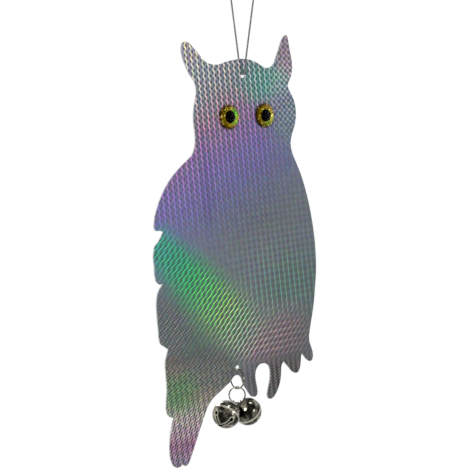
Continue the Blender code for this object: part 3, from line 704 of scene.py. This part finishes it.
# %% Sparkle, relief and gloss
cell_number = add(tree, "VectorMath", add(tree, "CombineXYZ", column, row), (2, 2, 1), operation="MULTIPLY")
cell_number = add(tree, "VectorMath", cell_number, operation="FLOOR")
sparkle = add(tree, "TexWhiteNoise", cell_number, noise_dimensions="3D").node.outputs
force = times(force, add(tree, "MapRange", sparkle["Value"], 0.0, 1.0, 0.78, 1.12))
film_colour = laid_over(shaded, (glow_force, glow), (force, light))
film_colour = add(tree, "MixRGB", 0.14, film_colour, sparkle["Color"], blend_type="OVERLAY")
gloss = add(tree, "MapRange", force, 0.0, 1.0, 0.38, 0.24)
finish(tree, shader, film_colour, force, 0.35, 0.0003, gloss)
dress("front_film", film)
dress("back_film", film)

# %% [markdown]
# ## The sheet between the films
#
# A white polypropylene sheet stiffens the owl, and only its cut edge shows. A steel rule die pressed
# through it leaves drag marks across the edge, drawn 1.4 mm wide, and a dull, faintly waxy surface.

# %% Core sheet
sheet, tree, shader, place = new_material("die_cut_polypropylene", Roughness=0.55, IOR=1.49)
drag = add(tree, "TexNoise", add(tree, "Mapping", place, None, None, (700, 90, 700)), Scale=1.0, Detail=3.0)
tint = add(tree, "ValToRGB", drag, stops=((0.3, "#b9bbbd"), (0.7, "#d9dadb")))
finish(tree, shader, tint, drag, 0.3, 0.00005)
dress("core_sheet", sheet)

# %% [markdown]
# ## Foam tape under the eyes
#
# Double-sided tape holds each eye. Its edge is open-cell foam, so the finish is matt with pits of 0.4 mm.

# %% Foam tape
foam, tree, shader, place = new_material("white_foam_tape", Roughness=0.92)
pits = add(tree, "TexVoronoi", place, Scale=2600.0)
# Darker towards each pit's middle: painted shade in the pits.
tint = add(tree, "ValToRGB", pits, stops=((0.05, "#b8b7b1"), (0.5, "#dddcd6")))
finish(tree, shader, tint, pits, 0.6, 0.0001)
dress("eye_pad_left", foam)
dress("eye_pad_right", foam)

# %% [markdown]
# ## Glitter under the domes
#
# The iris is card with gold and green glitter flakes set in lacquer. The real flakes are about 0.2 mm, too
# fine to show here, so they are drawn at 1.3 mm. Each flake gets its own tilt, which makes glitter sparkle,
# and its own brightness with a few pale sparks, which are painted glints. The card is brightest half way
# out and darkens to its rim, partly its darker outer colour and partly painted shade from the dome's edge.
# A green glint is painted on one side of each iris. The pupil is plain matt black print on the same card.

# %% Iris and pupil finishes
EYE_CENTRES = {"left": (-0.01653, -0.13709), "right": (0.02584, -0.13443)}
CARD_RADIUS = 0.011
GREEN_GLINT_SIDES = {"left": (0.0050, 0.0005, 0.90), "right": (0.0040, -0.0030, 0.45)}

black, tree, shader, place = new_material("black_printed_card", Roughness=0.6, Specular_IOR_Level=0.0)
fibre = add(tree, "TexNoise", place, Scale=1500.0, Detail=4.0)
tint = add(tree, "ValToRGB", fibre, stops=((0.3, "#020203"), (0.8, "#070709")))
finish(tree, shader, tint, fibre, 0.2, 0.00003)

for word, (x, z) in EYE_CENTRES.items():
    card, tree, shader, place = new_material(
        f"gold_glitter_card_{word}", Metallic=0.55, Roughness=0.30, Specular_IOR_Level=0.0
    )
    # Darker to the rim: the card's darker outer colour, and painted shade from the dome's edge.
    glitter = add(tree, "ValToRGB", nearness((x, 0, z), (CARD_RADIUS, CARD_RADIUS)), stops=(
        (0.0, "#140e02"), (0.10, "#4a3603"), (0.22, "#947a06"), (0.42, "#b4a808"), (0.56, "#6c6c08"),
    ))
    # A painted green glint on one side of the iris.
    dx, dz, strongest_green_glint = GREEN_GLINT_SIDES[word]
    green = nearness((x + dx, 0, z + dz), (0.0075, 0.0085))
    flakes = add(tree, "TexVoronoi", place, Scale=750.0).node.outputs["Color"]
    chance = add(tree, "SeparateXYZ", flakes).node.outputs
    # Each flake's brightness and the pale sparks below are painted glints.
    bright = add(tree, "ValToRGB", chance["X"], stops=((0.0, 0.12), (0.40, 0.55), (0.75, 1.0), (1.0, 1.0)))
    glitter = laid_over(glitter, (add(tree, "MapRange", green, 0.05, 0.5, 0.0, strongest_green_glint), "#34b006"))
    glitter = add(tree, "MixRGB", 0.75, glitter, bright, blend_type="MULTIPLY")
    orange = add(tree, "MapRange", chance["Y"], 0.72, 0.76, 0.0, 0.55)
    spark = add(tree, "MapRange", chance["Z"], 0.88, 0.91, 0.0, 0.80)
    glitter = laid_over(glitter, (orange, "#a86206"), (spark, "#f6dc70"))
    finish(tree, shader, glitter, chance["Y"], 0.9, 0.0004)
    dress(f"eye_iris_{word}", card)
    dress(f"eye_pupil_{word}", black)

# %% [markdown]
# ## Domes over the eyes
#
# Each eye is a cast dome of clear resin, 22 mm across. The resin is poured onto the printed card and wets
# it, so no air is left between them: light goes straight from the resin to the glitter, and the iris looks
# deep and clean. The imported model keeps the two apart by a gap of 0.1 mm, which would show as a silvery
# mirror from the side. So this dome reaches just behind the card and has the card and the pupil inside it.
# It is a turned shape: one profile, a shallow cap of a sphere with a rounded rim, spun about the eye's
# axis. The resin has a faint warm tint, a haze too slight to blur the card, and slow waves of 6 mm.

# %% Domes
EYE_RADIUS = 0.01106
DOME_HEIGHT = 0.00454
DOME_RIM = 0.00094
DOME_BACK = -0.00111
RIM_ROUND = 0.0003
RIM_HEIGHT = 0.00085
POLE_DISC = 0.0002
POLE_ANGLE = 0.0004
CAP_INSET = 0.00025
BACK_EDGE = 0.00002


def turned_grid(profile, sides):
    """A profile of (radius, height) spun about Z: a point goes to radius times (cos, sin) of the angle."""
    profile = np.asarray(profile, float)
    angle = np.linspace(0, 2 * np.pi, sides, endpoint=False)[None, :]
    radius, height = profile[:, :1], profile[:, 1:]
    return np.stack([radius * np.cos(angle), radius * np.sin(angle), height + 0 * angle], axis=-1)


rise = DOME_HEIGHT - DOME_RIM
sphere = (EYE_RADIUS**2 + rise**2) / (2 * rise)
cap = np.linspace(POLE_ANGLE, math.asin((EYE_RADIUS - CAP_INSET) / sphere), 26)
cap = np.stack([sphere * np.sin(cap), DOME_HEIGHT - sphere + sphere * np.cos(cap)], axis=1)
rim = np.radians(np.linspace(60, 0, 5))[:, None]
rim = (EYE_RADIUS - RIM_ROUND, RIM_HEIGHT) + RIM_ROUND * np.hstack([np.cos(rim), np.sin(rim)])
back = [(EYE_RADIUS, BACK_EDGE), (EYE_RADIUS - BACK_EDGE, 0), (EYE_RADIUS / 2, 0), (POLE_DISC, 0)]
dome_grid = turned_grid(np.vstack([cap, rim, back])[::-1], 64)

resin, tree, shader, place = new_material(
    "clear_cast_resin", IOR=1.52, Transmission_Weight=1.0, Specular_Tint=linear("#1c1c1c")
)
flow = add(tree, "TexNoise", place, Scale=160.0, Detail=1.0)
tint = add(tree, "ValToRGB", flow, stops=((0.3, "#fbf8ea"), (0.7, "#ffffff")))
haze = add(tree, "MapRange", add(tree, "TexNoise", place, Scale=900.0, Detail=3.0), 0.3, 0.8, 0.0, 0.03)
finish(tree, shader, tint, flow, 0.1, 0.0001, haze)

for word, (x, z) in EYE_CENTRES.items():
    facing = (dome_grid[..., 0] + x, DOME_BACK - dome_grid[..., 2], dome_grid[..., 1] + z)
    dome = piece_from_grids(f"resin_dome_{word}", [np.stack(facing, axis=-1)])
    dress(dome, resin)
    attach(dome, "owl")
    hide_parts(f"eye_dome_{word}")

# %% [markdown]
# ## Split rings
#
# The bells hang on two rings of nickel-plated steel wire, 1.2 mm thick. Each is one turn of wire with its
# two cut ends almost touching, so it is a round profile carried round a circle that stops just short of
# closing. Black nickel is a dark warm grey metal that still mirrors the lamps. It is a little uneven: its
# tone drifts over 4 to 8 mm, and its gloss is broken by scratches 0.3 mm wide. On the bells' shells the
# drifting tone runs from near black to pale as painted reflections, and a paler metal is painted along
# their lips and slots' edges as a painted reflection of the lamps.

# %% Black nickel
def nickel_finish(name, tones, clouds, roughness, orange_peel, sheen=None):
    """Plated metal: clouds of the tones, which on the shells are painted reflections, fine scratches in the
    gloss, a little orange peel, and the sheen colour, a painted reflection, where the piece's own
    painted sheen share is 1."""
    material, tree, shader, place = new_material(name, Metallic=1.0)
    tint = add(tree, "TexNoise", place, Scale=clouds, Detail=2.0, Distortion=1.0)
    tint = add(tree, "ValToRGB", tint, stops=tones)
    if sheen:
        # Painted reflection: pale metal laid along the bells' lips and slots' edges, where the sheen share
        # is 1.
        sheen_share = add(tree, "Attribute", attribute_name="sheen_share").node.outputs["Fac"]
        tint = add(tree, "MixRGB", sheen_share, tint, linear(sheen))
    rubbed = add(tree, "Mapping", place, None, (0.4, 0.7, 0.2), (300, 3600, 300))
    rubbed = add(tree, "TexNoise", rubbed, Scale=1.0, Detail=2.0)
    gloss = add(tree, "MapRange", rubbed, 0.3, 0.75, *roughness)
    peel = add(tree, "TexNoise", place, Scale=420.0, Detail=1.0)
    finish(tree, shader, tint, peel, orange_peel, 0.0003, gloss)
    print(f"{name}: roughness {roughness[0]} to {roughness[1]}")
    return material


wire_tones = ((0.35, "#2c2a26"), (0.5, "#57534b"), (0.68, "#a39e92"))
wire_finish = nickel_finish("black_nickel_wire", wire_tones, 260.0, (0.14, 0.28), 0.10)
# The shells' tones swirl from near black to pale: painted reflections of dark surroundings and bright
# lamps.
shell_painted_reflections = (
    (0.36, "#12110e"), (0.44, "#25241f"), (0.50, "#3b3932"), (0.57, "#5c5950"), (0.66, "#989385"),
)
shell_finish = nickel_finish("black_nickel_shell", shell_painted_reflections, 130.0, (0.06, 0.14), 0.35, sheen="#d2ccbc")
steel_tones = ((0.35, "#6f6f6e"), (0.68, "#a3a29f"))
ball_finish = nickel_finish("bare_steel_ball", steel_tones, 260.0, (0.25, 0.45), 0.20)

# %% Rings
RING_WIRE = 0.0012
RING_SEAM = 0.0004
RING_POINTS = 160
CUT_END = 0.86
UP = np.array((0.0, 0.0, 1.0))
LOWER_ACROSS = np.array((math.cos(math.radians(40)), -math.sin(math.radians(40)), 0.0))
RINGS = {
    "upper": ((-0.00608, 0.0, -0.36932), (0.0, 1.0, 0.0), 0.0088, math.radians(0)),
    "lower": ((-0.00608, 0.0, -0.38377), LOWER_ACROSS, 0.00715, math.radians(70)),
}
for word, (centre, across, radius, seam) in RINGS.items():
    half_seam = RING_SEAM / 2 / radius
    angle = np.linspace(seam + half_seam, seam + 2 * np.pi - half_seam, RING_POINTS)[:, None]
    circle = centre + radius * (np.cos(angle) * across + np.sin(angle) * UP)
    wire_radius = np.full(RING_POINTS, RING_WIRE / 2)
    wire_radius[[0, -1]] *= CUT_END
    wire_grid = sweep(circle, wire_radius, np.cross(across, UP), 20)
    split_ring = piece_from_grids(f"split_ring_{word}", [wire_grid])
    dress(split_ring, wire_finish)
    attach(split_ring, f"{word}_ring")
    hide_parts(f"{word}_ring")

# %% [markdown]
# ## Jingle bells
#
# A jingle bell is two thin half shells pressed from sheet and joined at a small rolled lip. The lower half
# has two crossed slots with round ends that let the sound out. The upper half has a hole for the wire loop.
# Each half is one closed profile spun round. The lower one's ends just short of its lowest point, where the
# slots cross. The slots are cut with a Boolean, because a slot that crosses a ball doesn't follow the
# ball's own rows and columns.

# %% Half shells
BELL_RADIUS = 0.0125
BELL_WALL = 0.0006
LIP_RISE = 0.00022
LIP_REACH = 0.0006
SEAM_HALF = 0.0001
NECK_ANGLE = math.asin(0.00155 / BELL_RADIUS)
LOWEST_ANGLE = math.pi - 0.035


def shell_piece(name, first, last):
    """A half shell about the origin, spun from an outer arc and an inner arc back, in angles from the top.

    A point of an arc is at its radius times (sin, cos) of the angle. The lip swells the outer arc next to
    the seam by LIP_RISE times a bell curve of the distance to the seam over LIP_REACH.
    """
    outer = np.linspace(first, last, 40)
    inner = outer[::-2]
    size = BELL_RADIUS + LIP_RISE * np.exp(-(((outer - math.pi / 2) * BELL_RADIUS / LIP_REACH) ** 2))
    outside = np.stack([size * np.sin(outer), size * np.cos(outer)], axis=1)
    inside = (BELL_RADIUS - BELL_WALL) * np.stack([np.sin(inner), np.cos(inner)], axis=1)
    return piece_from_grids(name, [turned_grid(np.vstack([outside, inside]), 96)], ends="joined")


CORNERS = ((-1, -1), (1, -1), (1, 1), (-1, 1))
SLOT_WIDTH = 0.0018
SLOT_END = 0.0034
SLOT_REACH = math.radians(58)
SLOT_OUT, SLOT_DOWN = BELL_RADIUS * math.sin(SLOT_REACH), BELL_RADIUS * math.cos(SLOT_REACH)
SLOT_TURNS = (math.radians(30), math.radians(120))
CUT_PAST = 0.002
SHEEN_REACH = 0.0008


def about_z(points, angle):
    """The points turned about Z: (x, y) goes to (x cos - y sin, x sin + y cos)."""
    cosine, sine = math.cos(angle), math.sin(angle)
    return points @ np.array([(cosine, sine, 0), (-sine, cosine, 0), (0, 0, 1)])


def slot_grids():
    """For each slot a bar straight through the shell's lower side, and a round rod at each of its ends."""
    grids = []
    corner = np.array(CORNERS) * (SLOT_OUT, SLOT_WIDTH / 2)
    levels = (-BELL_RADIUS - CUT_PAST, -SLOT_DOWN)
    bar = np.stack([np.column_stack([corner, np.full(4, level)]) for level in levels])
    rod = turned_grid([(SLOT_END / 2, BELL_RADIUS + past) for past in (-CUT_PAST, CUT_PAST)], 32)
    for turn in SLOT_TURNS:
        grids.append(about_z(bar, turn))
        for end in (-1, 1):
            cosine, sine = -math.cos(SLOT_REACH), end * math.sin(SLOT_REACH)
            tilt = np.array([(cosine, 0, sine), (0, 1, 0), (-sine, 0, cosine)])
            grids.append(about_z(rod @ tilt.T, turn))
    return grids


def cut_slots(shell):
    """Subtracts every slot from the shell with Booleans, and leaves a plain mesh."""
    cutters = [piece_from_grids("slot", [grid]) for grid in slot_grids()]
    for cutter in cutters:
        cut = shell.modifiers.new("slot", "BOOLEAN")
        cut.object = cutter
        cut.operation = "DIFFERENCE"
        cut.solver = "EXACT"
    bpy.context.view_layer.update()
    finished = bpy.data.meshes.new_from_object(shell.evaluated_get(bpy.context.evaluated_depsgraph_get()))
    shell.modifiers.clear()
    shell.data = finished
    for cutter in cutters:
        bpy.data.objects.remove(cutter, do_unlink=True)


def slot_gap(points):
    """How far each point is from the nearest slot's edge: off its straight side, or off its end circle."""
    gaps = []
    for turn in SLOT_TURNS:
        along, aside, height = about_z(points, -turn).T
        past = np.abs(along) - SLOT_OUT
        gaps.append(np.hypot(np.maximum(past, 0), aside) - SLOT_WIDTH / 2)
        gaps.append(np.linalg.norm([past, aside, height + SLOT_DOWN], axis=0) - SLOT_END / 2)
    return np.maximum(np.minimum.reduce(gaps), 0)


def mark_painted_sheen(shell):
    """Stores each point's share of painted sheen, a painted reflection: 1 on the lip, 0.8 at a slot's
    edge, and a bell curve's fall from there.
    """
    points = np.empty((len(shell.data.vertices), 3))
    shell.data.vertices.foreach_get("co", points.ravel())
    # The sheen is a painted reflection: full along the lip, and at 0.8 round the slots.
    sheen_share = np.exp(-((points[:, 2] / SHEEN_REACH) ** 2))
    if points[:, 2].mean() < 0:
        sheen_share = np.maximum(sheen_share, 0.8 * np.exp(-((slot_gap(points) / SHEEN_REACH) ** 2)))
    shell.data.attributes.new("sheen_share", "FLOAT", "POINT").data.foreach_set("value", sheen_share.astype(np.float32))
    print(shell.name, "share of worn points:", round(float((sheen_share > 0.5).mean()), 2))


halves = {
    "upper": shell_piece("upper_half", NECK_ANGLE, math.pi / 2 - SEAM_HALF / BELL_RADIUS),
    "lower": shell_piece("lower_half", math.pi / 2 + SEAM_HALF / BELL_RADIUS, LOWEST_ANGLE),
}
cut_slots(halves["lower"])
for half in halves.values():
    mark_painted_sheen(half)

# %% [markdown]
# ## Loops and hanging
#
# A bent wire loop comes out of each bell's neck and closes over the lower ring. Its feet spread inside the
# shell and hold it there. The bells are heavier than the ring, so both slide to its lowest part and lean on
# each other. Each is placed by its own centre and by the point of the ring that it hangs from.

# %% Bell loops
LOOP_WIRE = 0.00095
LOOP_STEP = 0.0002
LOOP_HALF = np.array([
    (3.0, 10.713), (1.843, 10.88), (0.958, 11.354), (0.72, 12.2), (0.756, 12.738),
    (1.348, 13.288), (1.975, 13.838), (1.639, 14.904), (0.909, 15.437), (0.0, 15.575),
]) / 1000
loop_points = np.vstack([LOOP_HALF, LOOP_HALF[-2::-1] * (-1, 1)])
loop_line, loop_lengths = evenly(smooth_line([(x, 0, z) for x, z in loop_points]), LOOP_STEP)
loop_grid = sweep(loop_line, LOOP_WIRE / 2, (0, 1, 0), 16)
print("wire in a bell's loop, mm:", round(1000 * float(loop_lengths[-1]), 1))

# %% Hang the bells
BELLS = {
    "left": ((-0.0089045, 0.0023701, -0.389896), (-0.01873, 0.0, -0.3998701)),
    "right": ((-0.0032555, -0.0023701, -0.389896), (0.00657, 0.0, -0.3998701)),
}
ring_plane = np.cross(LOWER_ACROSS, UP)


def moved_copy(source, name, turn, centre):
    """A new piece with the source's mesh turned and moved, with its object left at the origin."""
    mesh = source.data.copy()
    mesh.name = name
    mesh.transform(Matrix.Translation(centre) @ Matrix(turn).to_4x4())
    return put_in_scene(name, mesh)


for word, (hinge, centre) in BELLS.items():
    axis = unit(np.subtract(hinge, centre))
    wire = unit(np.cross(axis, ring_plane))
    turn = np.stack([np.cross(wire, axis), wire, axis], axis=1)
    loop = piece_from_grids(f"bell_loop_{word}", [loop_grid @ turn.T + centre])
    dress(loop, wire_finish)
    for part, half in halves.items():
        shell = moved_copy(half, f"bell_shell_{part}_{word}", turn, centre)
        shell.data.set_sharp_from_angle(angle=math.radians(35))
        dress(shell, shell_finish)
        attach(shell, f"bell_{word}")
        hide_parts(f"bell_{word}_{part}_shell")
    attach(loop, f"bell_{word}")
    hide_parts(f"bell_{word}_loop")
    dress(f"bell_{word}_pellet", ball_finish)
    print("bell", word, "axis:", axis.round(3).tolist(), "wire:", wire.round(3).tolist())
for half in halves.values():
    bpy.data.objects.remove(half, do_unlink=True)

# %% [markdown]
# ## Floor, light and background
#
# The photograph is cut out on plain white. Here the floor is pale and lies below the hanging owl, so that
# it can carry the owl's shadow. Away from the owl the floor turns to the same white as the background.
# White is given only to rays from the camera, to reflections and to clear resin, so it adds no light to
# the owl itself. The light is plain: a soft key from the front left, a fill from the right, a small lamp
# from above for the metal, one from behind for the back, and an even surround.

# %% Floor
FLOOR_Z = -0.62
FLOOR_REACH = 30.0


def seen_rays():
    """1 for rays from the camera, off a mirror or through clear resin, and 0 for those that carry light."""
    rays = add(tree, "LightPath").node.outputs
    return most(rays["Is Camera Ray"], rays["Is Glossy Ray"], rays["Is Transmission Ray"])


corners = [(x * FLOOR_REACH, y * FLOOR_REACH, FLOOR_Z) for x, y in CORNERS]
floor_mesh = bpy.data.meshes.new("studio_floor")
floor_mesh.from_pydata(corners, [], [(0, 1, 2, 3)])
floor = put_in_scene("studio_floor", floor_mesh)
paper = bpy.data.materials.new("matt_white_paper")
paper.use_nodes = True
tree = paper.node_tree
tree.nodes.clear()
place = add(tree, "TexCoord").node.outputs["Object"]
away = add(tree, "VectorMath", place, (0, 0, FLOOR_Z), operation="DISTANCE")
grain = add(tree, "TexNoise", place, Scale=60.0, Detail=3.0)
tint = add(tree, "ValToRGB", grain, stops=((0.3, "#eeeeec"), (0.7, "#f2f2f1")))
matt = add(tree, "BsdfDiffuse", tint)
white = add(tree, "Emission", linear("#ffffff"), 1.0)
surface = add(tree, "MixShader", times(seen_rays(), ease(away, 0.22, 0.62)), matt, white)
add(tree, "OutputMaterial", surface)
dress(floor, paper)

# %% World
scene.view_settings.view_transform = "Standard"
world = bpy.data.worlds.new("soft_surround")
scene.world = world
world.use_nodes = True
tree = world.node_tree
tree.nodes.clear()
surround = add(tree, "Background", linear("#ffffff"), 0.45)
white = add(tree, "Background", linear("#ffffff"), 1.0)
add(tree, "OutputWorld", add(tree, "MixShader", seen_rays(), surround, white))
print("nodes in the surround:", len(tree.nodes))

# %% Lamps
def lamp(name, place, aim, size, watts):
    """A square soft lamp at a place, turned to shine at aim."""
    data = bpy.data.lights.new(name, "AREA")
    data.size = size
    data.energy = watts
    item = put_in_scene(name, data)
    x, y, z = np.subtract(aim, place)
    item.location = place
    item.rotation_euler = (math.atan2(math.hypot(x, y), -z), 0, math.atan2(-x, y))
    print(f"{name} lamp: {watts} W, {size} m wide")


MIDDLE = (0.0, 0.0, -0.25)
lamp("key", (-1.25, -0.75, 0.25), MIDDLE, 0.50, 11)
lamp("fill", (0.35, -1.45, -0.10), MIDDLE, 0.45, 5)
lamp("top", (0.25, -0.35, 0.95), MIDDLE, 0.30, 3)
lamp("back", (0.30, 1.20, 0.30), MIDDLE, 0.60, 12)
